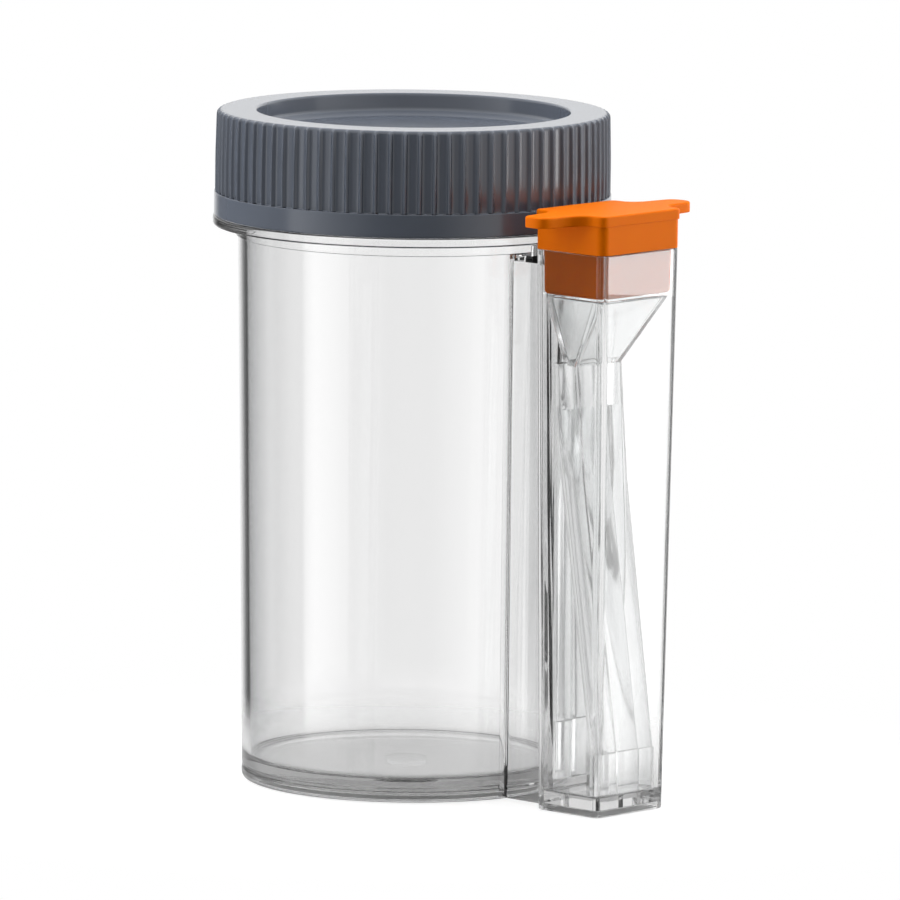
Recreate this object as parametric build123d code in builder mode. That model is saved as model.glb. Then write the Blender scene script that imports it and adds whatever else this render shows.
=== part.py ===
# Specimen container: a clear screw-top jar with a clear side tube moulded to it,
# a ribbed screw cap, a flat sealing ring in the cap, an orange push-in stopper and
# a clear two-legged insert that stands in the side tube.
# Millimetres. +Z is up, the jar's axis is Z, its base is at z = 0 and the side tube is on +X.
import math
import os

from build123d import *

# Jar wall and base
jar_body_height = 98.5        # base to the underside of the flange
jar_wall = 1.5
jar_draft = 1.5               # the wall's radius is this much less at the base
jar_floor = 4.0
jar_base_round = 1.2
jar_floor_round = 1.0
foot_ring_width = 3.0
foot_recess_depth = 1.2
gate_boss_radius = 3.5        # flat moulding gate pad, flush with the foot ring
base_groove_height = 2.3      # fine groove that marks the foot ring off from the wall
base_groove_width = 0.9
base_groove_depth = 0.3

# Collar, flange and neck
collar_height = 1.9
collar_step = 0.4
flange_thickness = 1.65
flange_lip = 0.2              # beyond the cap's band
flange_round = 0.5
neck_height = 16.25
neck_wall = 1.8
thread_space = 1.55           # neck to the cap's bore, filled by the threads
neck_lip_round = 0.4

# Screw cap
cap_gap = 0.05                # cap edge to flange
cap_height = 18.6
cap_band_height = 4.15        # plain band under the ribs
cap_band_radius = 35.0
cap_band_round = 0.35
cap_rib_count = 84
cap_rib_height = 0.6
cap_rib_root = 1.6            # width of a rib where it leaves the wall
cap_rib_crest = 0.55          # width of its flat crest
cap_rib_bed = 0.3             # how far its root reaches into the wall
cap_rib_step = 0.15           # rib crest inside the band
cap_rim_round = 0.8           # the rim's rounding, made as two cones
cap_rim_height = 1.1          # where the rim starts to draw in, below the top
cap_wall = 1.7                # wall behind the ribs
cap_seat_wall = 1.5           # ceiling over the jar's lip
cap_recess_depth = 2.9
cap_recess_slope = 1.0        # further drop to the central disc
cap_recess_draft = 0.4        # the recess wall leans in by this much
cap_slope_width = 1.8
cap_panel = 1.4
cap_plug_wall = 1.45          # ring between the recess and the neck bore
cap_plug_lip_wall = 1.75      # the same ring below the panel
cap_plug_clearance = 0.08
cap_plug_reach = 1.0          # below the panel

# Sealing ring
seal_gap = 0.05               # over and under the ring
seal_inner_clearance = 0.35
seal_outer_clearance = 0.3

# Side tube
tube_rim_rise = 0.1           # rim above the underside of the flange
tube_gap = 3.15               # flange edge to the tube's near face
tube_base_length = 14.5       # along X
tube_base_width = 17.7        # along Y
tube_rim_length = 16.1
tube_rim_width = 20.3
tube_wall = 1.15
tube_floor = 3.3
tube_corner = 1.5
tube_foot_recess = 1.2

# Hollow bridge between jar and tube
bridge_base_width = 11.0
bridge_top_width = 14.0
bridge_base_height = 0.3
bridge_wall = 1.2
bridge_block_length = 4.2     # raised block beside the tube

# Stopper
stopper_gap = 0.0
stopper_skirt_height = 5.0
stopper_plate_thickness = 1.9
stopper_plate_step = 0.12     # plate proud of the skirt
stopper_plug_length = 7.8
stopper_plug_clearance = 0.08
stopper_wall = 1.3
stopper_edge_round = 0.4
stopper_plug_round = 0.9
ear_reach = 9.4               # beyond the tube's flat face
ear_root_width = 9.6
ear_mid_width = 6.6
ear_tip_radius = 2.5
ear_blend = 2.0

# Insert in the side tube
insert_wall = 0.9
insert_clearance = 0.25       # funnel mouth to tube wall
insert_drop = 0.4             # funnel mouth below the plug
funnel_height = 12.3
funnel_mouth_corner = 1.0
outlet_length = 2.9           # along X
outlet_width = 10.4           # along Y
outlet_offset = -3.2          # from the tube's centre, towards the jar
leg_thickness = 0.9
leg_top_width = 15.0
leg_foot_width = 14.0
leg_rib_width = 5.6
leg_rib_height = 0.4
near_leg_top = -5.0           # outer face of the leg on the jar side, from the tube's centre
near_leg_foot = -4.1
near_foot_height = 10.1
near_foot_lift = 2.2
far_leg_top = -3.8            # outer face of the leg on the far side, from the tube's centre
far_leg_bend = -2.0
far_leg_bend_drop = 20.1      # bend below the funnel's outlet
far_leg_foot = 5.2
far_foot_height = 7.6
foot_extra = 0.35             # the feet are this much thicker

# Levels and radii that follow from the sizes above
cap_crest_radius = cap_band_radius - cap_rib_step
cap_valley_radius = cap_crest_radius - cap_rib_height
cap_bore_radius = cap_valley_radius - cap_wall
neck_radius = cap_bore_radius - thread_space
bore_radius = neck_radius - neck_wall
jar_top_radius = bore_radius + jar_wall
jar_base_radius = jar_top_radius - jar_draft
floor_radius = jar_base_radius - jar_wall
flange_radius = cap_band_radius + flange_lip
flange_top = jar_body_height + flange_thickness
collar_base = jar_body_height - collar_height
collar_radius = jar_top_radius + collar_step
neck_top = flange_top + neck_height
cap_bottom = flange_top + cap_gap
cap_top = cap_bottom + cap_height
cap_seat_height = cap_top - cap_seat_wall
cap_plug_radius = bore_radius - cap_plug_clearance
cap_plug_bore_radius = cap_plug_radius - cap_plug_lip_wall
cap_recess_radius = cap_plug_radius - cap_plug_wall
cap_ledge_height = cap_top - cap_recess_depth
cap_disc_height = cap_ledge_height - cap_recess_slope
cap_ledge_radius = cap_recess_radius - cap_recess_draft
cap_disc_radius = cap_ledge_radius - cap_slope_width
cap_panel_height = cap_disc_height - cap_panel
cap_plug_bottom = cap_panel_height - cap_plug_reach
tube_rim_height = jar_body_height + tube_rim_rise
tube_centre_x = flange_radius + tube_gap + tube_rim_length / 2
plug_bottom = tube_rim_height - stopper_plug_length
skirt_bottom = tube_rim_height + stopper_gap
plate_bottom = skirt_bottom + stopper_skirt_height
plate_top = plate_bottom + stopper_plate_thickness
mouth_height = plug_bottom - insert_drop
outlet_height = mouth_height - funnel_height
outlet_centre_x = tube_centre_x + outlet_offset


def tube_length_at(z):
    """Outer size of the side tube along X at a height."""
    return tube_base_length + (tube_rim_length - tube_base_length) * z / tube_rim_height


def tube_width_at(z):
    """Outer size of the side tube along Y at a height."""
    return tube_base_width + (tube_rim_width - tube_base_width) * z / tube_rim_height


def tapered_block(z_low, z_high, inset, corner):
    """Solid that follows the side tube's outer draft between two heights, drawn in by inset."""
    with BuildPart() as block:
        for z in (z_low, z_high):
            with BuildSketch(Plane.XY.offset(z)):
                with Locations((tube_centre_x, 0)):
                    RectangleRounded(tube_length_at(z) - 2 * inset, tube_width_at(z) - 2 * inset, corner)
        loft(ruled=True)
    return block.part


def turned(points):
    """Solid of revolution about Z of a closed outline of (radius, height) points."""
    with BuildPart() as turning:
        with BuildSketch(Plane.XZ):
            with BuildLine():
                Polyline(*points, close=True)
            make_face()
        revolve(axis=Axis.Z)
    return turning.part


def edges_at(part, z, low_radius, high_radius):
    """Circular edges of a turned part at one height, between two radii."""
    found = part.edges().filter_by(GeomType.CIRCLE)
    found = found.filter_by(lambda e: abs(e.center().Z - z) < 1e-3)
    return found.filter_by(lambda e: low_radius < e.radius < high_radius)


# Clear body: jar, flange and neck
def jar_outline():
    groove_low = base_groove_height - base_groove_width / 2
    groove_high = base_groove_height + base_groove_width / 2
    groove_radius = jar_base_radius - base_groove_depth
    return [
        (0, 0),
        (jar_base_radius, 0),
        (jar_base_radius, groove_low),
        (groove_radius, base_groove_height),
        (jar_base_radius, groove_high),
        (jar_top_radius, collar_base),
        (collar_radius, collar_base),
        (collar_radius, jar_body_height),
        (flange_radius, jar_body_height),
        (flange_radius, flange_top),
        (neck_radius, flange_top),
        (neck_radius, neck_top),
        (0, neck_top),
    ]


def bore_outline():
    return [
        (0, jar_floor),
        (floor_radius, jar_floor),
        (bore_radius, collar_base),
        (bore_radius, neck_top + 1),
        (0, neck_top + 1),
    ]


def bridge_block(width_inset, z_low, z_high):
    """Block from inside the jar wall to inside the tube wall, with the bridge's draft in Y."""
    x_low = floor_radius
    x_high = tube_centre_x - tube_base_length / 2 + tube_wall / 2
    with BuildPart() as block:
        for z in (z_low, z_high):
            share = z / collar_base
            width = bridge_base_width + (bridge_top_width - bridge_base_width) * share
            with BuildSketch(Plane.XY.offset(z)):
                with Locations(((x_low + x_high) / 2, 0)):
                    Rectangle(x_high - x_low, width - 2 * width_inset)
        loft(ruled=True)
    return block.part


with BuildPart() as bridge:
    add(bridge_block(0, bridge_base_height, collar_base))
    add(bridge_block(bridge_wall, bridge_base_height - 1, collar_base - bridge_wall), mode=Mode.SUBTRACT)
    block_end = tube_centre_x - tube_rim_length / 2 + tube_wall / 2
    with BuildSketch(Plane.XY.offset(collar_base - bridge_wall)):
        with Locations((block_end - bridge_block_length / 2, 0)):
            Rectangle(bridge_block_length, bridge_top_width)
    extrude(amount=collar_height + bridge_wall)

with BuildPart() as clear_body:
    add(turned(jar_outline()))
    fillet(edges_at(clear_body, 0, jar_base_radius - 0.1, jar_base_radius + 0.1), jar_base_round)
    flange_edges = edges_at(clear_body, jar_body_height, flange_radius - 0.1, flange_radius + 0.1)
    flange_edges += edges_at(clear_body, flange_top, flange_radius - 0.1, flange_radius + 0.1)
    fillet(flange_edges, flange_round)
    add(bridge.part)
    add(tapered_block(0, tube_rim_height, 0, tube_corner))
    add(turned(bore_outline()), mode=Mode.SUBTRACT)
    fillet(edges_at(clear_body, jar_floor, floor_radius - 0.1, floor_radius + 0.1), jar_floor_round)
    fillet(edges_at(clear_body, neck_top, bore_radius - 0.1, neck_radius + 0.1), neck_lip_round)
    tube_inner_corner = max(tube_corner - tube_wall, 0.3)
    add(tapered_block(tube_floor, tube_rim_height + 1, tube_wall, tube_inner_corner), mode=Mode.SUBTRACT)
    add(tapered_block(-1, tube_foot_recess, tube_wall, tube_inner_corner), mode=Mode.SUBTRACT)
    with BuildSketch(Plane.XY):
        Circle(jar_base_radius - foot_ring_width)
        Circle(gate_boss_radius, mode=Mode.SUBTRACT)
    extrude(amount=foot_recess_depth, mode=Mode.SUBTRACT)

# Screw cap
rib_outline = [
    (-cap_rib_bed, -cap_rib_root / 2),
    (0, -cap_rib_root / 2),
    (cap_rib_height, -cap_rib_crest / 2),
    (cap_rib_height, cap_rib_crest / 2),
    (0, cap_rib_root / 2),
    (-cap_rib_bed, cap_rib_root / 2),
]

rim_shoulder = 1 - math.sqrt(0.5)      # where a quarter round is halfway through its turn

with BuildPart() as screw_cap:
    with BuildSketch(Plane.XY.offset(cap_bottom + cap_band_height)):
        Circle(cap_valley_radius)
        with PolarLocations(cap_valley_radius, cap_rib_count):
            Polygon(*rib_outline, align=None)
    extrude(amount=cap_height - cap_band_height)
    rim = [
        (0, cap_bottom - 1),
        (cap_band_radius, cap_bottom - 1),
        (cap_band_radius, cap_top - cap_rim_height),
        (cap_crest_radius - cap_rim_round * rim_shoulder, cap_top - cap_rim_round * rim_shoulder),
        (cap_crest_radius - cap_rim_round, cap_top),
        (0, cap_top),
    ]
    add(turned(rim), mode=Mode.INTERSECT)
    with BuildSketch(Plane.XY.offset(cap_bottom)):
        Circle(cap_band_radius)
    extrude(amount=cap_band_height)
    fillet(edges_at(screw_cap, cap_bottom, cap_band_radius - 0.1, cap_band_radius + 0.1), cap_band_round)
    recess = [
        (0, cap_disc_height),
        (cap_disc_radius, cap_disc_height),
        (cap_ledge_radius, cap_ledge_height),
        (cap_recess_radius, cap_top + 0.1),
        (0, cap_top + 0.1),
    ]
    add(turned(recess), mode=Mode.SUBTRACT)
    hollow = [
        (0, cap_bottom - 0.1),
        (cap_bore_radius, cap_bottom - 0.1),
        (cap_bore_radius, cap_seat_height),
        (cap_plug_radius, cap_seat_height),
        (cap_plug_radius, cap_plug_bottom),
        (cap_plug_bore_radius, cap_plug_bottom),
        (cap_plug_bore_radius, cap_panel_height),
        (0, cap_panel_height),
    ]
    add(turned(hollow), mode=Mode.SUBTRACT)

# Sealing ring over the jar's lip
seal_thickness = cap_seat_height - neck_top - 2 * seal_gap
with BuildPart() as sealing_ring:
    with BuildSketch(Plane.XY.offset(neck_top + seal_gap)):
        Circle(cap_bore_radius - seal_outer_clearance)
        Circle(cap_plug_radius + seal_inner_clearance, mode=Mode.SUBTRACT)
    extrude(amount=seal_thickness)


# Orange stopper
def ear_outline(side):
    """One finger ear as (x, y) points from the tube's flat face to the start of its round tip."""
    root_y = tube_width_at(plate_bottom) / 2
    tip_y = root_y + ear_reach - ear_tip_radius
    mid_y = root_y + ear_blend
    return [
        (tube_centre_x - ear_root_width / 2, side * (root_y - 1)),
        (tube_centre_x - ear_root_width / 2, side * root_y),
        (tube_centre_x - ear_mid_width / 2, side * mid_y),
        (tube_centre_x - ear_tip_radius, side * tip_y),
        (tube_centre_x + ear_tip_radius, side * tip_y),
        (tube_centre_x + ear_mid_width / 2, side * mid_y),
        (tube_centre_x + ear_root_width / 2, side * root_y),
        (tube_centre_x + ear_root_width / 2, side * (root_y - 1)),
    ]


with BuildPart() as tube_stopper:
    plate_length = tube_length_at(tube_rim_height) + 2 * stopper_plate_step
    plate_width = tube_width_at(tube_rim_height) + 2 * stopper_plate_step
    with BuildSketch(Plane.XY.offset(plate_bottom)) as plate:
        with Locations((tube_centre_x, 0)):
            RectangleRounded(plate_length, plate_width, tube_corner)
        for side in (-1, 1):
            with BuildLine():
                Polyline(*ear_outline(side), close=True)
            make_face()
            tip_centre = tube_width_at(plate_bottom) / 2 + ear_reach - ear_tip_radius
            with Locations((tube_centre_x, side * tip_centre)):
                Circle(ear_tip_radius)
        ear_roots = plate.vertices().filter_by(
            lambda v: abs(abs(v.X - tube_centre_x) - ear_mid_width / 2) < 0.01
        )
        fillet(ear_roots, ear_blend)
    extrude(amount=stopper_plate_thickness)
    top_edges = tube_stopper.faces().sort_by(Axis.Z)[-1].edges()
    fillet(top_edges, stopper_edge_round)
    with BuildSketch(Plane.XY.offset(skirt_bottom)):
        with Locations((tube_centre_x, 0)):
            RectangleRounded(tube_length_at(tube_rim_height), tube_width_at(tube_rim_height), tube_corner)
    extrude(amount=stopper_skirt_height)
    plug_inset = tube_wall + stopper_plug_clearance
    with BuildPart(mode=Mode.PRIVATE) as plug:
        add(tapered_block(plug_bottom, skirt_bottom + 1, plug_inset, tube_corner - 0.4))
        fillet(plug.faces().sort_by(Axis.Z)[0].edges(), stopper_plug_round)
    add(plug.part)
    hollow_inset = plug_inset + stopper_wall
    add(tapered_block(plug_bottom - 1, plate_bottom, hollow_inset, 0.6), mode=Mode.SUBTRACT)


# Insert: funnel mouth, two legs, two feet
def funnel_shell(inset, z_low, z_high):
    """Solid funnel, drawn in by inset, cut off at two heights of the same slope."""
    gap = tube_wall + insert_clearance
    mouth_length = tube_length_at(mouth_height) - 2 * gap
    mouth_width = tube_width_at(mouth_height) - 2 * gap
    with BuildPart() as shell:
        for z in (z_low, z_high):
            share = (z - outlet_height) / funnel_height
            length = outlet_length + (mouth_length - outlet_length) * share - 2 * inset
            width = outlet_width + (mouth_width - outlet_width) * share - 2 * inset
            centre = outlet_centre_x + (tube_centre_x - outlet_centre_x) * share
            corner = 0.2 + (funnel_mouth_corner - 0.2) * max(share, 0)
            with BuildSketch(Plane.XY.offset(z)):
                with Locations((centre, 0)):
                    RectangleRounded(length, width, corner)
        loft(ruled=True)
    return shell.part


def leg_strip(points, width):
    """Strip whose (x, z) outline is carried across Y, centred."""
    with BuildPart() as strip:
        with BuildSketch(Plane.XZ):
            with BuildLine():
                Polyline(*points, close=True)
            make_face()
        extrude(amount=width / 2, both=True)
    return strip.part


def near_leg(offset, depth):
    """Outline of the leg on the jar side: outer face moved out by offset, depth thick."""
    top = outlet_height + 0.6
    foot = tube_floor + near_foot_lift
    knee = foot + near_foot_height
    top_x = tube_centre_x + near_leg_top - offset
    knee_x = tube_centre_x + near_leg_foot - offset
    outer = [(top_x, top), (knee_x, knee), (knee_x - foot_extra, knee), (knee_x - foot_extra, foot)]
    inner = [(knee_x + depth, foot), (knee_x + depth, knee), (top_x + depth, top)]
    return outer + inner


def far_leg(offset, depth):
    """Outline of the leg on the far side: outer face moved out by offset, depth thick."""
    top = outlet_height + 0.6
    bend = outlet_height - far_leg_bend_drop
    knee = tube_floor + far_foot_height
    top_x = tube_centre_x + far_leg_top + offset
    bend_x = tube_centre_x + far_leg_bend + offset
    knee_x = tube_centre_x + far_leg_foot + offset
    outer = [(top_x, top), (bend_x, bend), (knee_x, knee)]
    outer += [(knee_x + foot_extra, knee), (knee_x + foot_extra, tube_floor)]
    inner = [(knee_x - depth, tube_floor), (knee_x - depth, knee)]
    inner += [(bend_x - depth, bend), (top_x - depth, top)]
    return outer + inner


with BuildPart() as tube_insert:
    add(leg_strip(near_leg(0, leg_thickness), leg_top_width))
    add(leg_strip(far_leg(0, leg_thickness), leg_top_width))
    with BuildPart(mode=Mode.PRIVATE) as leg_sides:
        for z, width in ((tube_floor, leg_foot_width), (outlet_height + 1, leg_top_width)):
            with BuildSketch(Plane.XY.offset(z)):
                with Locations((tube_centre_x, 0)):
                    Rectangle(tube_base_length * 2, width)
        loft(ruled=True)
    add(leg_sides.part, mode=Mode.INTERSECT)
    add(leg_strip(near_leg(leg_rib_height, leg_thickness), leg_rib_width))
    add(leg_strip(far_leg(leg_rib_height, leg_thickness), leg_rib_width))
    add(funnel_shell(0, outlet_height, mouth_height))
    add(funnel_shell(insert_wall, outlet_height - 0.2, mouth_height + 1), mode=Mode.SUBTRACT)

os.makedirs("parts", exist_ok=True)
clear_body.part.label = "clear_body"
screw_cap.part.label = "screw_cap"
sealing_ring.part.label = "sealing_ring"
tube_stopper.part.label = "tube_stopper"
tube_insert.part.label = "tube_insert"
export_step(clear_body.part, "parts/clear_body.step")
export_step(screw_cap.part, "parts/screw_cap.step")
export_step(sealing_ring.part, "parts/sealing_ring.step")
export_step(tube_stopper.part, "parts/tube_stopper.step")
export_step(tube_insert.part, "parts/tube_insert.step")
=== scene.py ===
import math

import bmesh
import bpy
import numpy as np
from mathutils import Matrix, Vector


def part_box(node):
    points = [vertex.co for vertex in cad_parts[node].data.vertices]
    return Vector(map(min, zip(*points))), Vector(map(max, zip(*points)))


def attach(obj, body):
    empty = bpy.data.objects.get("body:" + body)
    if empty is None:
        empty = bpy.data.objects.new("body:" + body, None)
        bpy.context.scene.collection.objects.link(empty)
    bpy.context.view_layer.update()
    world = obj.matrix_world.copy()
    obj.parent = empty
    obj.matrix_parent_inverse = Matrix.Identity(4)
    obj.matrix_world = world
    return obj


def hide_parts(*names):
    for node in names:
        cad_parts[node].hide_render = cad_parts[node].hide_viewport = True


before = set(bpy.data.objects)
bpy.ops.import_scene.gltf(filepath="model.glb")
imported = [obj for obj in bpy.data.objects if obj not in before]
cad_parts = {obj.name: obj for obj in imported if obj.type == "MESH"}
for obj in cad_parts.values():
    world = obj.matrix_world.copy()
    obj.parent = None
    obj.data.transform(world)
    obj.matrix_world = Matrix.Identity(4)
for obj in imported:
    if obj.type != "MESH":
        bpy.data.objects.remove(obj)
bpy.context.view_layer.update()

# Lengths here are millimetres; skin() turns them to metres as it makes each mesh.


def boxOf(node):
    low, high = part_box(node)
    return np.array(low) * 1000, np.array(high) * 1000


bodyHigh = boxOf("clear_body")[1]
capLow, capHigh = boxOf("screw_cap")
stopperLow, stopperHigh = boxOf("tube_stopper")
insertLow, insertHigh = boxOf("tube_insert")
sealLow, sealHigh = boxOf("sealing_ring")
tubeCentre = (stopperLow[0] + stopperHigh[0]) / 2
flangeRadius = bodyHigh[1]
neckTop = bodyHigh[2]
bandRadius = capHigh[1]


# A soft corner is the quadratic curve (1-s)^2 A + 2s(1-s) P + s^2 B, where P is the corner and
# A and B lie one setback from it on its two runs. One more point on each run, a little further
# out, keeps the flats beside the curve flat. Rows are (u, v, setback).
def softCorners(rows, steps=5, closed=False, hold=0.3):
    rows = np.array(rows, float)
    point, back = rows[:, :2], rows[:, 2:]
    toLast = np.roll(point, 1, axis=0) - point
    toNext = np.roll(point, -1, axis=0) - point
    toLast /= np.linalg.norm(toLast, axis=1, keepdims=True)
    toNext /= np.linalg.norm(toNext, axis=1, keepdims=True)
    s = np.linspace(0, 1, steps + 1)[None, :, None]
    start = (point + toLast * back)[:, None]
    end = (point + toNext * back)[:, None]
    curve = (1 - s) ** 2 * start + 2 * s * (1 - s) * point[:, None] + s ** 2 * end
    before = (point + toLast * back * (1 + hold))[:, None]
    after = (point + toNext * back * (1 + hold))[:, None]
    soft = np.concatenate([before, curve, after], axis=1)
    if closed:
        return soft.reshape(-1, 2)
    return np.vstack([point[0], soft[1:-1].reshape(-1, 2), point[-1]])


# A turned skin: the point (r, z) of the profile at angle a is (r cos a, r sin a, z).
# "around" is how many even steps to take, or the angles themselves.
def turned(profile, around):
    angle = np.linspace(0, 2 * np.pi, around, endpoint=False) if np.isscalar(around) else around
    radius, height = profile[:, :1], profile[:, 1:]
    return np.stack([radius * np.cos(angle), radius * np.sin(angle), height + 0 * angle], axis=-1)


# Rounded rectangles: each corner is an arc of angle a about a centre drawn in by its radius,
# with one point a little further along the side at each end of the arc.
def rectangles(centreX, halfX, halfY, corner, height, steps=6, hold=0.25):
    sizes = np.broadcast_arrays(*[np.asarray(v, float) for v in (centreX, halfX, halfY, corner, height)])
    centreX, halfX, halfY, corner, height = [v.reshape(-1, 1, 1) for v in sizes]
    arc = np.linspace(0, np.pi / 2, steps + 1)
    arc = np.concatenate([arc[:1], arc, arc[-1:]])
    slide = np.zeros(steps + 3)
    slide[0], slide[-1] = -hold, hold
    quarter = np.arange(4)[:, None] * np.pi / 2
    angle = quarter + arc
    signX = np.sign(np.cos(quarter + np.pi / 4))
    signY = np.sign(np.sin(quarter + np.pi / 4))
    x = centreX + signX * (halfX - corner) + corner * np.cos(angle) - slide * np.sin(angle)
    y = signY * (halfY - corner) + corner * np.sin(angle) + slide * np.cos(angle)
    rings = np.stack([x, y, height + 0 * x], axis=-1)
    return rings.reshape(len(rings), -1, 3)


# The outward normal of a closed outline, from the chord between each point's two neighbours.
def outlineNormals(outline):
    chord = np.roll(outline, -1, axis=0) - np.roll(outline, 1, axis=0)
    normal = np.stack([chord[:, 1], -chord[:, 0]], axis=-1)
    normal /= np.linalg.norm(normal, axis=1, keepdims=True)
    following = np.roll(outline, -1, axis=0)
    area = (outline[:, 0] * following[:, 1] - following[:, 0] * outline[:, 1]).sum()
    return normal * np.sign(area)


# Rings of points become a closed skin: quads between neighbouring rings, and at each end a
# fan to the ring's middle ("pole"), one flat face ("face") or a join to the other end ("loop").
def skin(name, rings, ends="pole", smoothAngle=40):
    count, around = rings.shape[:2]
    index = np.arange(count * around).reshape(count, around)
    following = np.roll(index, -1, axis=1)
    quads = np.stack([index[:-1], following[:-1], following[1:], index[1:]], axis=-1).reshape(-1, 4)
    faces = quads.tolist()
    points = rings.reshape(-1, 3)
    if ends == "pole":
        points = np.vstack([points, rings[0].mean(axis=0), rings[-1].mean(axis=0)])
        low = np.stack([following[0], index[0], np.full(around, len(points) - 2)], axis=-1)
        high = np.stack([index[-1], following[-1], np.full(around, len(points) - 1)], axis=-1)
        faces += low.tolist() + high.tolist()
    elif ends == "face":
        faces += [index[0][::-1].tolist(), index[-1].tolist()]
    else:
        faces += np.stack([index[-1], following[-1], following[0], index[0]], axis=-1).tolist()
    mesh = bpy.data.meshes.new(name)
    mesh.from_pydata((points / 1000).tolist(), [], faces)
    work = bmesh.new()
    work.from_mesh(mesh)
    bmesh.ops.recalc_face_normals(work, faces=work.faces)
    work.to_mesh(mesh)
    work.free()
    piece = bpy.data.objects.new(name, mesh)
    bpy.context.collection.objects.link(piece)
    smooth(piece, smoothAngle)
    return piece


def smooth(piece, smoothAngle=40):
    piece.data.shade_smooth()
    piece.data.set_sharp_from_angle(angle=math.radians(smoothAngle))


def combine(piece, others, operation="UNION", smoothAngle=40):   # others are used up
    for other in others:
        step = piece.modifiers.new("combine", "BOOLEAN")
        step.operation = operation
        step.object = other
        step.solver = "EXACT"
        bpy.context.view_layer.objects.active = piece
        bpy.ops.object.modifier_apply(modifier=step.name)
        bpy.data.objects.remove(other)
    smooth(piece, smoothAngle)
    return piece


def dress(piece, material, body, *nodes):   # finish, body and the CAD nodes it stands for
    piece.data.materials.clear()
    piece.data.materials.append(material)
    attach(piece, body)
    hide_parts(*nodes)
    print("made", piece.name, len(piece.data.polygons), "faces")


def toLinear(text):   # an sRGB hex colour as linear red, green, blue and alpha
    value = np.array([int(text[i:i + 2], 16) for i in (1, 3, 5)]) / 255
    value = np.where(value <= 0.04045, value / 12.92, ((value + 0.055) / 1.055) ** 2.4)
    return (*value.tolist(), 1.0)


# One node: its settings by attribute or socket name, its links as socket = (node, output).
def addNode(tree, kind, settings=None, links=None):
    node = tree.nodes.new(kind)
    for name, value in (settings or {}).items():
        if isinstance(name, str) and hasattr(node, name):
            setattr(node, name, value)
        else:
            node.inputs[name].default_value = value
    for name, (source, output) in (links or {}).items():
        tree.links.new(source.outputs[output], node.inputs[name])
    return node


def newMaterial(name):
    material = bpy.data.materials.new(name)
    material.use_nodes = True
    material.node_tree.nodes.clear()
    return material, material.node_tree


def mixColours(tree, first, second, share):   # share = (node, output), from the first colour to the second
    settings = {"data_type": "RGBA", 6: toLinear(first), 7: toLinear(second)}
    return addNode(tree, "ShaderNodeMix", settings, {0: share})


# Injection-moulded crystal polystyrene from a polished mould: glossy and clear, with faint
# upright flow lines, and a grey that only shows on long ways through it. Its colour is also
# painted grey towards grazing angles, a painted shade on the edges. The insert's is a little
# milky, from a plainer mould.
clearLook = {"ior": 1.59, "roughness": 0.012, "flat": "#FFFFFF", "edge": "#DADBDC", "paintedShadeRamp": (0.3, 0.75),
             "flowPitch": 2.2, "flowStretch": 0.06, "flowHeight": 0.004, "grey": 18.0}
milkyLook = {**clearLook, "roughness": 0.08, "flat": "#FDFEFE", "edge": "#F6F7F7", "grey": 5.0}


def clearPolystyrene(name, look):
    material, tree = newMaterial(name)
    place = addNode(tree, "ShaderNodeTexCoord")
    stretch = addNode(tree, "ShaderNodeMapping", {"Scale": (1, 1, look["flowStretch"])},
                      {"Vector": (place, "Object")})
    flow = addNode(tree, "ShaderNodeTexNoise", {"Scale": 1000 / look["flowPitch"], "Detail": 2.0},
                   {"Vector": (stretch, "Vector")})
    bump = addNode(tree, "ShaderNodeBump", {"Strength": 1.0, "Distance": look["flowHeight"] / 1000},
                   {"Height": (flow, "Fac")})
    # Layer Weight's facing turns the colour from flat to edge at grazing angles: painted shade on the edges.
    facing = addNode(tree, "ShaderNodeLayerWeight", {"Blend": 0.5})
    low, high = look["paintedShadeRamp"]
    paintedShadeRamp = addNode(tree, "ShaderNodeMapRange", {"From Min": low, "From Max": high},
                    {"Value": (facing, "Facing")})
    paintedEdgeShade = mixColours(tree, look["flat"], look["edge"], (paintedShadeRamp, "Result"))
    shader = addNode(tree, "ShaderNodeBsdfPrincipled",
                     {"Transmission Weight": 1.0, "IOR": look["ior"], "Roughness": look["roughness"]},
                     {"Base Color": (paintedEdgeShade, 2), "Normal": (bump, "Normal")})
    depth = addNode(tree, "ShaderNodeVolumeAbsorption", {"Color": (0, 0, 0, 1), "Density": look["grey"]})
    addNode(tree, "ShaderNodeOutputMaterial", {}, {"Surface": (shader, "BSDF"), "Volume": (depth, "Volume")})
    return material


# The skin of a moulding: a clouded colour, and a fine grain in its roughness and its relief.
def mouldedSkin(tree, look):
    place = addNode(tree, "ShaderNodeTexCoord")
    grain = addNode(tree, "ShaderNodeTexNoise", {"Scale": 1000 / look["grain"], "Detail": 3.0},
                    {"Vector": (place, "Object")})
    cloud = addNode(tree, "ShaderNodeTexNoise", {"Scale": 1000 / look["cloud"], "Detail": 2.0},
                    {"Vector": (place, "Object")})
    colour = mixColours(tree, look["deep"], look["colour"], (cloud, "Fac"))
    smoothest, roughest = look["roughness"]
    gloss = addNode(tree, "ShaderNodeMapRange", {"To Min": smoothest, "To Max": roughest},
                    {"Value": (grain, "Fac")})
    bump = addNode(tree, "ShaderNodeBump", {"Strength": 1.0, "Distance": look["grainHeight"] / 1000},
                   {"Height": (grain, "Fac")})
    return {"Base Color": (colour, 2), "Roughness": (gloss, "Result"), "Normal": (bump, "Normal")}


# Injection-moulded polypropylene, grey-blue masterbatch, from a fine spark-eroded mould: a
# satin skin with a slight grain that spreads its highlights.
capLook = {"colour": "#515762", "deep": "#4B515C", "roughness": (0.16, 0.26), "ior": 1.49, "specular": 0.6,
           "shine": 0.4, "shineRoughness": 0.12, "grain": 0.5, "grainHeight": 0.0006, "cloud": 9.0}


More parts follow.
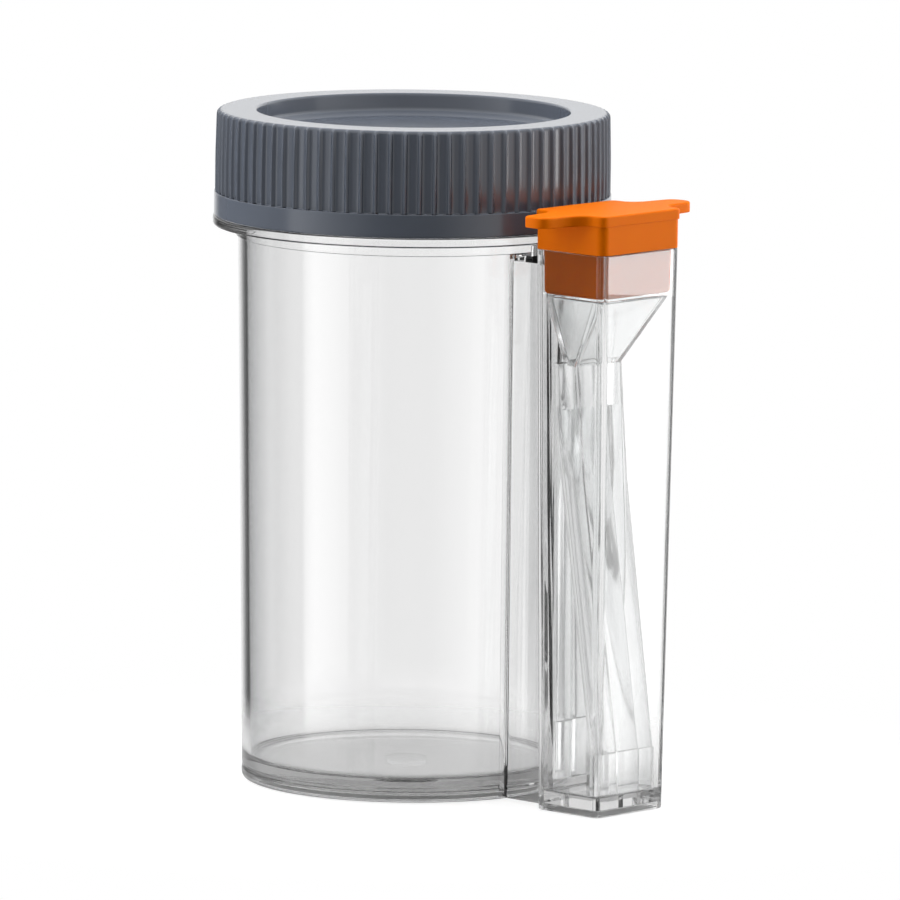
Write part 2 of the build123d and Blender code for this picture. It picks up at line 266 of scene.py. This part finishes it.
def satinPolypropylene(name, look):
    material, tree = newMaterial(name)
    shader = addNode(tree, "ShaderNodeBsdfPrincipled",
                     {"IOR": look["ior"], "Specular IOR Level": look["specular"],
                      "Coat Weight": look["shine"], "Coat Roughness": look["shineRoughness"]},
                     mouldedSkin(tree, look))
    addNode(tree, "ShaderNodeOutputMaterial", {}, {"Surface": (shader, "BSDF")})
    return material


# Orange low-density polyethylene: soft, slightly waxy, so light goes a little way into it.
stopperLook = {"colour": "#D26600", "deep": "#CA6000", "roughness": (0.45, 0.55), "ior": 1.51,
               "specular": 0.03, "grain": 0.5, "grainHeight": 0.006, "cloud": 5.0, "soft": 0.15,
               "depth": 0.8, "depthColour": (1.0, 0.45, 0.1)}


def waxyPolyethylene(name, look):
    material, tree = newMaterial(name)
    shader = addNode(tree, "ShaderNodeBsdfPrincipled",
                     {"IOR": look["ior"], "Specular IOR Level": look["specular"],
                      "Subsurface Weight": look["soft"], "Subsurface Radius": look["depthColour"],
                      "Subsurface Scale": look["depth"] / 1000},
                     mouldedSkin(tree, look))
    addNode(tree, "ShaderNodeOutputMaterial", {}, {"Surface": (shader, "BSDF")})
    return material


# Die-cut foamed polyethylene sheet: off-white and matt, with closed cells under half a millimetre.
foamLook = {"colour": "#E9E6DC", "cell": "#D9D5C8", "cellSize": 0.4, "cellDepth": 0.05, "ior": 1.51,
            "roughness": 0.7}


def foamedPolyethylene(name, look):
    material, tree = newMaterial(name)
    place = addNode(tree, "ShaderNodeTexCoord")
    cells = addNode(tree, "ShaderNodeTexVoronoi", {"Scale": 1000 / look["cellSize"]},
                    {"Vector": (place, "Object")})
    colour = mixColours(tree, look["cell"], look["colour"], (cells, "Distance"))
    bump = addNode(tree, "ShaderNodeBump", {"Strength": 0.6, "Distance": look["cellDepth"] / 1000},
                   {"Height": (cells, "Distance")})
    shader = addNode(tree, "ShaderNodeBsdfPrincipled", {"IOR": look["ior"], "Roughness": look["roughness"]},
                     {"Base Color": (colour, 2), "Normal": (bump, "Normal")})
    addNode(tree, "ShaderNodeOutputMaterial", {}, {"Surface": (shader, "BSDF")})
    return material


crystal = clearPolystyrene("crystal polystyrene", clearLook)
milky = clearPolystyrene("insert polystyrene", milkyLook)
satin = satinPolypropylene("grey satin polypropylene", capLook)
waxy = waxyPolyethylene("orange polyethylene", stopperLook)
foam = foamedPolyethylene("foamed polyethylene", foamLook)
print("materials ready")


# The jar, the side tube and the bridge between them are one clear moulding.
jar = {"neckHeight": 16.25, "flange": 1.65, "flangeReach": 4.2, "flangeRound": 0.45, "collarHeight": 1.9,
       "collarStep": 0.4, "neckWall": 1.8, "wall": 1.5, "draft": 1.5, "floor": 4.0, "footRing": 3.0,
       "footRecess": 1.2, "gatePad": 3.5, "grooveHeight": 2.3, "grooveWidth": 0.9, "grooveDepth": 0.3,
       "around": 288}
jarThread = {"pitch": 4.0, "height": 0.9, "root": 2.0, "crest": 0.7, "start": 103.4, "turns": 1.9}
tube = {"rimAbove": 0.1, "baseHalf": (7.25, 8.85), "rimHalf": (8.05, 10.15), "wall": 1.15, "floor": 3.3,
        "corner": 1.5, "footRecess": 1.2, "middle": 5.0}
bridge = {"baseHalf": 5.5, "topHalf": 7.0, "low": 0.3, "wall": 1.2, "block": 4.2, "corner": 0.3,
          "intoJar": 0.35, "intoTube": 0.5, "fillet": 1.1, "filletBed": 0.5}

neckRadius = flangeRadius - jar["flangeReach"]
boreRadius = neckRadius - jar["neckWall"]
wallTop = boreRadius + jar["wall"]
wallBase = wallTop - jar["draft"]
floorRadius = wallBase - jar["wall"]
flangeTop = neckTop - jar["neckHeight"]
bodyHeight = flangeTop - jar["flange"]
collarBase = bodyHeight - jar["collarHeight"]
tubeTop = bodyHeight + tube["rimAbove"]


def tubeHalf(axis, height):   # half the tube's outer length (axis 0) or width (axis 1)
    base, rim = tube["baseHalf"][axis], tube["rimHalf"][axis]
    return base + (rim - base) * height / tubeTop


def makeJar():
    footInner = wallBase - jar["footRing"]
    recess = jar["footRecess"]
    groove = jar["grooveHeight"]
    lip = jar["grooveWidth"] / 2
    soft = jar["flangeRound"]
    rows = [
        (jar["gatePad"] - 1, 0, 0),
        (jar["gatePad"], 0, 0.15),
        (jar["gatePad"], recess, 0.15),
        (footInner, recess, 0.2),
        (footInner, 0, 0.2),
        (wallBase, 0, 1.0),
        (wallBase, groove - lip, 0.12),
        (wallBase - jar["grooveDepth"], groove, 0.2),
        (wallBase, groove + lip, 0.12),
        (wallTop, collarBase, 0.1),
        (wallTop + jar["collarStep"], collarBase, 0.12),
        (wallTop + jar["collarStep"], bodyHeight, 0.15),
        (flangeRadius, bodyHeight, soft),
        (flangeRadius, flangeTop, soft),
        (neckRadius, flangeTop, 0.25),
        (neckRadius, neckTop, 0.4),
        (boreRadius, neckTop, 0.4),
        (boreRadius, collarBase, 0.3),
        (floorRadius, jar["floor"], 1.0),
        (floorRadius - 4, jar["floor"], 0),
    ]
    return skin("clearBody", turned(softCorners(rows), jar["around"]))


def makeTube():
    rows = [
        (tube["middle"], tube["footRecess"], 0),
        (tube["wall"], tube["footRecess"], 0.15),
        (tube["wall"], 0, 0.15),
        (0, 0, 0.3),
        (0, tubeTop, 0.25),
        (tube["wall"], tubeTop, 0.25),
        (tube["wall"], tube["floor"], 0.5),
        (tube["middle"], tube["floor"], 0),
    ]
    inset, height = softCorners(rows).T
    corner = np.maximum(tube["corner"] - inset, 0.4)
    halfX = tubeHalf(0, height) - inset
    halfY = tubeHalf(1, height) - inset
    return skin("tubeShell", rectangles(tubeCentre, halfX, halfY, corner, height))


# A block between two heights whose ends and sides lean with the mouldings that it joins.
def bridgeBlock(name, inset, low, high, insetEnds=0.0):
    height = np.array([low, high])
    share = height / collarBase
    startX = wallBase - jar["wall"] + jar["draft"] * share + bridge["intoJar"] - insetEnds
    endX = tubeCentre - tubeHalf(0, height) + bridge["intoTube"] + insetEnds
    halfY = bridge["baseHalf"] + (bridge["topHalf"] - bridge["baseHalf"]) * share - inset
    shape = rectangles((startX + endX) / 2, (endX - startX) / 2, halfY, bridge["corner"], height)
    return skin(name, shape, ends="face")


# The hollow corner between the jar and one side of the bridge is filled by the soft-corner curve
# from C + ru to C + rv: C is the corner, u runs back along the jar and v along the bridge. Behind
# the curve the filler reaches into both walls.
def bridgeFillet(side):
    reach, bed = bridge["fillet"], bridge["filletBed"]
    rings = []
    for height in (bridge["low"] + 0.2, collarBase - 0.05):
        share = height / collarBase
        radius = wallBase + jar["draft"] * share
        half = bridge["baseHalf"] + (bridge["topHalf"] - bridge["baseHalf"]) * share
        corner = np.array([math.sqrt(radius ** 2 - half ** 2), half])
        outward = corner / radius
        alongJar = np.array([-outward[1], outward[0]])
        alongBridge = np.array([1, 0])
        s = np.linspace(0, 1, 9)[:, None]
        curve = corner + reach * ((1 - s) ** 2 * alongJar + s ** 2 * alongBridge)
        inner = [curve[-1] - (0, bed), corner - 1.4 * bed * outward, curve[0] - bed * outward]
        outline = np.vstack([curve, inner])
        rings.append([(x, side * y, height) for x, y in outline])
    return skin("bridgeFillet", np.array(rings), ends="face")


def makeBridge():
    shell = bridgeBlock("bridge", 0, bridge["low"], collarBase)
    hollow = bridgeBlock("bridgeHollow", bridge["wall"], -1, collarBase - bridge["wall"], insetEnds=1)
    combine(shell, [hollow], "DIFFERENCE")
    endX = tubeCentre - tube["rimHalf"][0] + bridge["intoTube"]
    half = bridge["block"] / 2
    heights = np.array([collarBase - bridge["wall"], bodyHeight])
    shape = rectangles(endX - half, half, bridge["topHalf"], bridge["corner"], heights)
    block = skin("bridgeTop", shape, ends="face")
    return [shell, block, bridgeFillet(-1), bridgeFillet(1)]


# A screw thread: a ridge of (outward, upward) section carried along the helix
# (r cos a, r sin a, start + pitch a / 2 pi), fading to almost nothing over a short run at both ends.
def threadRidge(name, look, radius, outward, bed=0.15, soft=0.1, stepsPerTurn=96, fadeTurns=0.12):
    turn = np.linspace(0, look["turns"], int(look["turns"] * stepsPerTurn))
    fade = np.clip(np.minimum(turn, look["turns"] - turn) / fadeTurns, 0.02, 1)
    fade = fade * fade * (3 - 2 * fade)
    half, crest = look["root"] / 2, look["crest"] / 2
    rise = look["height"]
    section = np.array([(-bed, -half), (0, -half), (rise * 0.9, -crest - soft), (rise, -crest + soft),
                        (rise, crest - soft), (rise * 0.9, crest + soft), (0, half), (-bed, half)])
    out = np.where(section[:, 0] > 0, section[:, 0] * fade[:, None], section[:, 0])
    angle = 2 * np.pi * turn[:, None] + 0 * out
    reach = radius + outward * out
    height = look["start"] + look["pitch"] * turn[:, None] + section[:, 1]
    rings = np.stack([reach * np.cos(angle), reach * np.sin(angle), height], axis=-1)
    return skin(name, rings, ends="face", smoothAngle=50)


def makeClearBody():
    body = makeJar()
    combine(body, [makeTube(), *makeBridge(), threadRidge("neckThread", jarThread, neckRadius, 1)])
    return body


clearBody = makeClearBody()
dress(clearBody, crystal, "jar", "clear_body")


# The screw cap: a plain band, upright grip ribs, a rounded rim, a recessed two-step top and,
# inside, the ring that plugs the jar's neck.
cap = {"bandHeight": 4.15, "bandRound": 0.35, "ribs": 84, "ribHeight": 0.6, "ribStep": 0.15, "ribRoot": 1.05,
       "ribCrest": 0.1, "ribUpright": 6.0, "ribDraft": 0.12, "ribFade": 0.9, "rim": 0.55, "wall": 1.7,
       "seatWall": 1.5, "recess": 2.9, "slope": 1.0, "slopeWidth": 1.8, "recessDraft": 0.4, "panel": 1.4,
       "middle": 12.0, "plugWall": 1.45, "plugLipWall": 1.75, "plugClearance": 0.08, "plugReach": 1.0}
capThread = {"pitch": 4.0, "height": 0.9, "root": 1.6, "crest": 0.6, "start": 105.4, "turns": 1.7}

valley = bandRadius - cap["ribStep"] - cap["ribHeight"]   # the radius between the ribs
capBore = valley - cap["wall"]


# The cap's skin is turned, with the ribs added to its radius: a rib rises from the wall as the
# smooth step of its distance from the rib's middle, and fades out over the rounded rim. Nine
# angles lie on each rib and two in the valley beside it.
def makeCap():
    top, bottom = capHigh[2], capLow[2]
    bandTop = bottom + cap["bandHeight"]
    seat = top - cap["seatWall"]
    plug = boreRadius - cap["plugClearance"]
    plugBore = plug - cap["plugLipWall"]
    recess = plug - cap["plugWall"]
    ledge = top - cap["recess"]
    disc = ledge - cap["slope"]
    panel = disc - cap["panel"]
    plugBottom = panel - cap["plugReach"]
    inner = recess - cap["recessDraft"]
    rows = [
        (cap["middle"], panel, 0),
        (plugBore, panel, 0.4),
        (plugBore, plugBottom, 0.3),
        (plug, plugBottom, 0.35),
        (plug, seat, 0.2),
        (capBore, seat, 0.3),
        (capBore, bottom, 0.4),
        (bandRadius, bottom, cap["bandRound"]),
        (bandRadius, bandTop, 0.12),
        (valley, bandTop, 0.15),
        (valley, bandTop + cap["ribUpright"], 1.0),
        (valley - cap["ribDraft"], top, cap["rim"]),
        (recess, top, 0.4),
        (inner, ledge, 0.35),
        (inner - cap["slopeWidth"], disc, 0.25),
        (cap["middle"], disc, 0),
    ]
    profile = softCorners(rows, steps=4)
    pitch = 2 * math.pi * valley / cap["ribs"]
    share = cap["ribRoot"] / pitch
    onRib = np.linspace(-0.5, 0.5, 9) * share
    inValley = 0.5 * share + (1 - share) * np.array([1, 2]) / 3
    place = np.concatenate([onRib, inValley])
    angle = (np.arange(cap["ribs"])[:, None] + 0.5 + place) * 2 * np.pi / cap["ribs"]
    rings = turned(profile, angle.ravel())
    across = np.tile(place * pitch, cap["ribs"])
    step = np.clip((cap["ribRoot"] / 2 - np.abs(across)) / ((cap["ribRoot"] - cap["ribCrest"]) / 2), 0, 1)
    ridge = step * step * (3 - 2 * step)
    radius, height = profile[:, 0], profile[:, 1]
    ribbed = (radius > valley - 1.4) & (radius < valley + 0.02) & (height > bandTop + 0.01)
    fade = np.clip((top - height) / cap["ribFade"], 0, 1) ** 0.5
    grow = cap["ribHeight"] * ridge * (ribbed * fade)[:, None]
    rings[..., :2] *= (1 + grow / radius[:, None])[..., None]
    return skin("ribbedCap", rings, smoothAngle=50)


dress(makeCap(), satin, "cap", "screw_cap")
innerThread = threadRidge("capThread", capThread, capBore, -1)
innerThread.data.materials.append(satin)
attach(innerThread, "cap")


# The seal is a flat ring round the cap's plug, with softened edges.
seal = {"gap": 0.35, "edge": 0.12, "around": 192}


def makeSeal():
    inner = boreRadius - cap["plugClearance"] + seal["gap"]
    outer = sealHigh[0]
    low, high = sealLow[2], sealHigh[2]
    rows = [(r, z, seal["edge"]) for r, z in ((inner, low), (outer, low), (outer, high), (inner, high))]
    return skin("foamSeal", turned(softCorners(rows, steps=3, closed=True), seal["around"]), ends="loop")


dress(makeSeal(), foam, "seal", "sealing_ring")


# The stopper: a plate with two finger ears over a skirt, and a hollow plug that fills the mouth.
stopper = {"skirt": 5.0, "plate": 1.9, "plateStep": 0.12, "plug": 7.8, "clearance": 0.08, "wall": 1.3,
           "edge": 0.4, "plugRound": 0.75, "earRoot": 9.6, "earMiddle": 6.6, "earTip": 2.5, "earBlend": 2.0,
           "intoPlate": 0.5, "middle": 5.0}


def makeStopper():
    plateTop = stopperHigh[2]
    plateLow = plateTop - stopper["plate"]
    skirtLow = plateLow - stopper["skirt"]
    plugLow = skirtLow - stopper["plug"]
    halfX, halfY = tube["rimHalf"][0], tube["rimHalf"][1]
    step = stopper["plateStep"]
    rootY = halfY + step
    tipY = stopperHigh[1]
    rootX, middleX, tipX = stopper["earRoot"] / 2, stopper["earMiddle"] / 2, stopper["earTip"]
    quarter = np.array([
        (halfX + step, rootY, tube["corner"]),
        (rootX, rootY, 1.2),
        (middleX, rootY + stopper["earBlend"], 1.1),
        (tipX, tipY, 2.2),
    ])
    mirrored = quarter[::-1] * (-1, 1, 1)
    upper = np.vstack([quarter, mirrored])
    rows = np.vstack([upper, upper * (-1, -1, 1)])
    outline = softCorners(rows, steps=8, closed=True, hold=0.08)
    normal = outlineNormals(outline)
    rows = [(-3, plateLow, 0), (0, plateLow, 0.2), (0, plateTop, stopper["edge"]), (-3, plateTop, 0)]
    edge = softCorners(rows)[1:-1]
    flat = outline + normal * edge[:, None, :1]
    rings = np.concatenate([flat, np.broadcast_to(edge[:, None, 1:], flat[..., :1].shape)], axis=-1)
    rings[..., 0] += tubeCentre
    plate = skin("stopperPlate", rings, ends="face")
    gap = tube["wall"] + stopper["clearance"]
    wall = gap + stopper["wall"]
    ceiling = plateLow - 0.02
    skirtTop = plateLow + stopper["intoPlate"]
    plugEnd = softCorners([
        (wall + 2.0, ceiling, 0),
        (wall, ceiling, 0.3),
        (wall, plugLow, 0.2),
        (gap, plugLow, stopper["plugRound"]),
        (gap, skirtLow, 0.1),
        (0, skirtLow, 0.1),
        (0, skirtTop, 0.1),
        (stopper["middle"], skirtTop, 0),
    ])
    inset, height = plugEnd.T
    level = np.minimum(height, tubeTop)
    corner = np.clip(tube["corner"] + 0.2 - inset * 0.45, 0.5, tube["corner"])
    shape = rectangles(tubeCentre, tubeHalf(0, level) - inset, tubeHalf(1, level) - inset, corner, height)
    return combine(skin("orangeStopper", shape), [plate])


dress(makeStopper(), waxy, "stopper", "tube_stopper")


# The insert: a funnel whose two flat legs stand in the side tube.
insert = {"wall": 0.9, "clearance": 0.25, "funnel": 12.3, "mouthCorner": 1.0, "outletHalf": (1.45, 5.2),
          "outletOffset": -3.2, "leg": 0.9, "topHalf": 7.5, "footHalf": 7.0, "foot": 0.35, "ribHalf": 2.8,
          "rib": 0.4, "nearTop": -5.0, "nearFoot": -4.1, "nearKnee": 10.1, "nearLift": 2.2, "farTop": -3.8,
          "farBend": -2.0, "farBendDrop": 20.1, "farFoot": 5.2, "farKnee": 7.6}


def makeFunnel():
    mouth = insertHigh[2]
    outlet = mouth - insert["funnel"]
    rows = [
        (0.0, outlet, 0),
        (0.0, mouth, 0.25),
        (insert["wall"], mouth, 0.25),
        (insert["wall"], outlet, 0),
    ]
    inset, height = softCorners(rows, steps=4).T
    gap = tube["wall"] + insert["clearance"]
    share = (height - outlet) / insert["funnel"]
    mouthX, mouthY = tubeHalf(0, mouth) - gap, tubeHalf(1, mouth) - gap
    halfX = insert["outletHalf"][0] + (mouthX - insert["outletHalf"][0]) * share - inset
    halfY = insert["outletHalf"][1] + (mouthY - insert["outletHalf"][1]) * share - inset
    centre = tubeCentre + insert["outletOffset"] * (1 - share)
    corner = 0.25 + (insert["mouthCorner"] - 0.25) * share
    rings = rectangles(centre, halfX, halfY, corner, height, steps=5, hold=0.1)
    return skin("clearInsert", rings, ends="loop")


# A leg is its (x, z) outline carried across Y between two edges that lean in towards the foot,
# the outline drawn in a little at both edges to soften them.
def legStrip(name, corners, half, lean=True):
    outline = softCorners([(x, z, 0.13) for x, z in corners], steps=3, closed=True, hold=0.2)
    normal = outlineNormals(outline)
    low, high = insertLow[2], insertHigh[2] - insert["funnel"]
    share = np.clip((outline[:, 1] - low) / (high - low), 0, 1)
    edgeY = half * (1 - lean * (1 - insert["footHalf"] / insert["topHalf"]) * (1 - share))
    inset = np.array([0.06, 0.02, 0, 0, 0.02, 0.06])
    side = np.array([-1, -1, -1, 1, 1, 1])
    drawn = np.array([0, 0.02, 0.06, 0.06, 0.02, 0])
    flat = outline - normal * inset[:, None, None]
    across = side[:, None] * (edgeY - drawn[:, None])
    rings = np.stack([flat[..., 0], across, flat[..., 1]], axis=-1)
    return skin(name, rings, ends="face")


def nearLeg(offset, depth, trim=0.0):
    top = insertHigh[2] - insert["funnel"] + 0.6 - trim
    foot = tube["floor"] + insert["nearLift"] + trim
    knee = foot + insert["nearKnee"]
    topX = tubeCentre + insert["nearTop"] - offset
    kneeX = tubeCentre + insert["nearFoot"] - offset
    footX = kneeX - insert["foot"]
    return [(topX, top), (kneeX, knee), (footX, knee), (footX, foot), (kneeX + depth, foot),
            (kneeX + depth, knee), (topX + depth, top)]


def farLeg(offset, depth, trim=0.0):
    outlet = insertHigh[2] - insert["funnel"]
    top = outlet + 0.55 - trim
    bend = outlet - insert["farBendDrop"]
    floor = tube["floor"] + 0.02 + trim
    knee = tube["floor"] + insert["farKnee"] + trim
    topX = tubeCentre + insert["farTop"] + offset
    bendX = tubeCentre + insert["farBend"] + offset
    kneeX = tubeCentre + insert["farFoot"] + offset
    footX = kneeX + insert["foot"]
    return [(topX, top), (bendX, bend), (kneeX, knee), (footX, knee), (footX, floor), (kneeX - depth, floor),
            (kneeX - depth, knee), (bendX - depth, bend), (topX - depth, top)]


def makeInsert():
    funnel = makeFunnel()
    leg, rib = insert["leg"], insert["rib"]
    strips = [
        legStrip("nearLeg", nearLeg(0, leg), insert["topHalf"]),
        legStrip("farLeg", farLeg(0, leg), insert["topHalf"]),
        legStrip("nearRib", nearLeg(rib, leg, trim=0.12), insert["ribHalf"], lean=False),
        legStrip("farRib", farLeg(rib, leg, trim=0.15), insert["ribHalf"], lean=False),
    ]
    return combine(funnel, strips)


dress(makeInsert(), milky, "jar", "tube_insert")
print("pieces ready")


# The floor is a pale disc that ends softly in the white surround. Seen directly it glows enough
# to stay white where nothing shades it; behind glass and in reflections it is a plain pale board.
floorLook = {"radius": 45, "fade": 65, "below": 0.2, "shown": 0.82, "shownPaint": 0.22, "behind": 0.05,
             "behindPaint": 0.4}


def makeFloor(look):
    reach = (look["radius"] + look["fade"]) / 1000
    mesh = bpy.data.meshes.new("floor")
    corners = [(-reach, -reach, 0), (reach, -reach, 0), (reach, reach, 0), (-reach, reach, 0)]
    mesh.from_pydata(corners, [], [(0, 1, 2, 3)])
    floor = bpy.data.objects.new("floor", mesh)
    bpy.context.collection.objects.link(floor)
    floor.location.z = -look["below"] / 1000
    material, tree = newMaterial("pale board")
    path = addNode(tree, "ShaderNodeLightPath")
    place = addNode(tree, "ShaderNodeTexCoord")
    distance = addNode(tree, "ShaderNodeVectorMath", {"operation": "LENGTH"}, {0: (place, "Object")})
    edge = addNode(tree, "ShaderNodeMapRange",
                   {"From Min": look["radius"] / 1000, "From Max": reach, "interpolation_type": "SMOOTHSTEP"},
                   {"Value": (distance, "Value")})
    strength = addNode(tree, "ShaderNodeMapRange", {"To Min": look["behind"], "To Max": look["shown"]},
                       {"Value": (path, "Is Camera Ray")})
    tone = addNode(tree, "ShaderNodeMapRange", {"To Min": look["behindPaint"], "To Max": look["shownPaint"]},
                   {"Value": (path, "Is Camera Ray")})
    glow = addNode(tree, "ShaderNodeEmission", {}, {"Strength": (strength, 0)})
    paint = addNode(tree, "ShaderNodeBsdfDiffuse", {}, {"Color": (tone, 0)})
    both = addNode(tree, "ShaderNodeAddShader", {}, {0: (glow, 0), 1: (paint, 0)})
    beyond = addNode(tree, "ShaderNodeBsdfTransparent")
    board = addNode(tree, "ShaderNodeMixShader", {}, {0: (edge, 0), 1: (both, 0), 2: (beyond, 0)})
    addNode(tree, "ShaderNodeOutputMaterial", {}, {"Surface": (board, 0)})
    mesh.materials.append(material)


# The studio is a ring of light whose strength depends on the direction round the object, in
# degrees from the side that faces the camera towards its left: pairs of (angle, strength).
# Each ring fades into an even top: (strength, where it begins, where it is full), as the upward
# part of the direction. Gloss sees one ring and dull surfaces another, also through the clear
# parts, and what comes straight through the clear parts is the white background from any side.
studio = {"azimuth": 43.0, "strongest": 6.0, "back": 1.0,
          "glossTop": (1.05, 0.02, 0.3), "dullTop": (3.0, 0.6, 0.95),
          "gloss": [(-180, 1.0), (-122, 1.0), (-114, 0.35), (-80, 0.35), (-74, 1.3), (-44, 0.95),
                    (-14, 0.25), (20, 0.2), (44, 0.5), (60, 0.95), (75, 1.3), (78, 0.1), (152, 0.1),
                    (168, 1.0), (180, 1.0)],
          "dull": [(-180, 0.9), (-150, 1.2), (-138, 4.4), (-94, 4.4), (-78, 0.2), (-45, 0.03), (12, 0.03),
                   (34, 1.1), (56, 1.0), (74, 0.6), (86, 3.6), (134, 3.6), (148, 1.0), (180, 0.9)]}


def makeStudio(look):
    world = bpy.data.worlds.new("studio")
    bpy.context.scene.world = world
    world.use_nodes = True
    world.cycles.sampling_method = "NONE"   # else surfaces are also lit without regard to the kind of ray
    tree = world.node_tree
    tree.nodes.clear()
    place = addNode(tree, "ShaderNodeTexCoord")
    azimuth = math.radians(look["azimuth"])
    front = (math.sin(azimuth), -math.cos(azimuth), 0)
    left = (-math.cos(azimuth), -math.sin(azimuth), 0)
    towards = addNode(tree, "ShaderNodeVectorMath", {"operation": "DOT_PRODUCT", 1: front},
                      {0: (place, "Generated")})
    aside = addNode(tree, "ShaderNodeVectorMath", {"operation": "DOT_PRODUCT", 1: left},
                    {0: (place, "Generated")})
    angle = addNode(tree, "ShaderNodeMath", {"operation": "ARCTAN2"},
                    {0: (aside, "Value"), 1: (towards, "Value")})
    share = addNode(tree, "ShaderNodeMapRange", {"From Min": -math.pi, "From Max": math.pi},
                    {"Value": (angle, 0)})
    parts = addNode(tree, "ShaderNodeSeparateXYZ", {}, {"Vector": (place, "Generated")})
    levels = []
    for kind in ("gloss", "dull"):
        ramp = addNode(tree, "ShaderNodeValToRGB", {}, {"Fac": (share, "Result")})
        stops = ramp.color_ramp.elements
        for number, (degrees, strength) in enumerate(look[kind]):
            spot = (degrees + 180) / 360
            stop = stops[number] if number < 2 else stops.new(spot)
            stop.position = spot
            stop.color = (*[strength / look["strongest"]] * 3, 1)
        level = addNode(tree, "ShaderNodeMath", {"operation": "MULTIPLY", 1: look["strongest"]},
                        {0: (ramp, "Color")})
        top, low, full = look[kind + "Top"]
        high = addNode(tree, "ShaderNodeMapRange",
                       {"From Min": low, "From Max": full, "interpolation_type": "SMOOTHSTEP"},
                       {"Value": (parts, "Z")})
        levels.append(addNode(tree, "ShaderNodeMix", {"data_type": "FLOAT", 3: top},
                              {0: (high, "Result"), 2: (level, 0)}))
    path = addNode(tree, "ShaderNodeLightPath")
    dull = addNode(tree, "ShaderNodeMath", {"operation": "MINIMUM", 1: 1.0}, {0: (path, "Diffuse Depth")})
    lit = addNode(tree, "ShaderNodeMix", {"data_type": "FLOAT"},
                  {0: (dull, 0), 2: (levels[0], 0), 3: (levels[1], 0)})
    bounced = addNode(tree, "ShaderNodeMath", {"operation": "ADD"},
                      {0: (path, "Glossy Depth"), 1: (path, "Diffuse Depth")})
    straight = addNode(tree, "ShaderNodeMath", {"operation": "LESS_THAN", 1: 0.5}, {0: (bounced, 0)})
    seen = addNode(tree, "ShaderNodeMix", {"data_type": "FLOAT", 3: look["back"]},
                   {0: (straight, 0), 2: (lit, 0)})
    light = addNode(tree, "ShaderNodeBackground", {"Color": (1, 1, 1, 1)}, {"Strength": (seen, 0)})
    addNode(tree, "ShaderNodeOutputWorld", {}, {"Surface": (light, 0)})


# Two soft boxes behind grids, near the object, that the side tube's outer face mirrors: a tall one
# and a smaller one above. Their light leaves in a cone "spread" degrees wide, and "strength" is
# what is seen along its middle line.
softBox = {"name": "softBox", "place": (0.156, 0.110, 0.052), "towards": (-0.675, -0.724, 0.15),
           "width": 0.05, "height": 0.2, "spread": 30, "strength": 2.0}
upperBox = {**softBox, "name": "upperBox", "place": (0.153, 0.107, 0.1145), "height": 0.086, "strength": 2.8}


def makeSoftBox(look):
    data = bpy.data.lights.new(look["name"], "AREA")
    data.shape = "RECTANGLE"
    data.size, data.size_y = look["width"], look["height"]
    data.spread = math.radians(look["spread"])
    kept = 1 - data.spread / 2 / math.tan(data.spread / 2)
    data.energy = look["strength"] * math.pi * look["width"] * look["height"] * kept
    lamp = bpy.data.objects.new(look["name"], data)
    bpy.context.collection.objects.link(lamp)
    turn = Vector(look["towards"]).to_track_quat("-Z", "Y").to_matrix().to_4x4()
    lamp.matrix_world = Matrix.Translation(Vector(look["place"])) @ turn
    lamp.visible_camera = False


# A long lens two metres away, looking about eight degrees down at the middle of the jar, with
# the camera turned a little about its own axis.
view = {"place": (1.390178, -1.490784, 0.343584), "aim": (0.005325, 0.004702, 0.058475), "lens": 465.8,
        "sensor": 36, "roll": 0.684}


def makeCamera():
    data = bpy.data.cameras.new("camera")
    data.lens = view["lens"]
    data.sensor_width = view["sensor"]
    data.clip_end = 20
    camera = bpy.data.objects.new("camera", data)
    bpy.context.collection.objects.link(camera)
    place, aim = Vector(view["place"]), Vector(view["aim"])
    look = (aim - place).to_track_quat("-Z", "Y").to_matrix().to_4x4()
    roll = Matrix.Rotation(math.radians(view["roll"]), 4, "Z")
    camera.matrix_world = Matrix.Translation(place) @ look @ roll
    bpy.context.scene.camera = camera
    bpy.context.scene.view_settings.view_transform = "Standard"


# Light goes through many clear walls here and turns back inside them, so it needs a long way.
def allowLongPaths():
    cycles = bpy.context.scene.cycles
    cycles.max_bounces = 24
    cycles.transmission_bounces = 20
    cycles.glossy_bounces = 12


makeFloor(floorLook)
makeStudio(studio)
makeSoftBox(softBox)
makeSoftBox(upperBox)
makeCamera()
allowLongPaths()
print("stage ready")
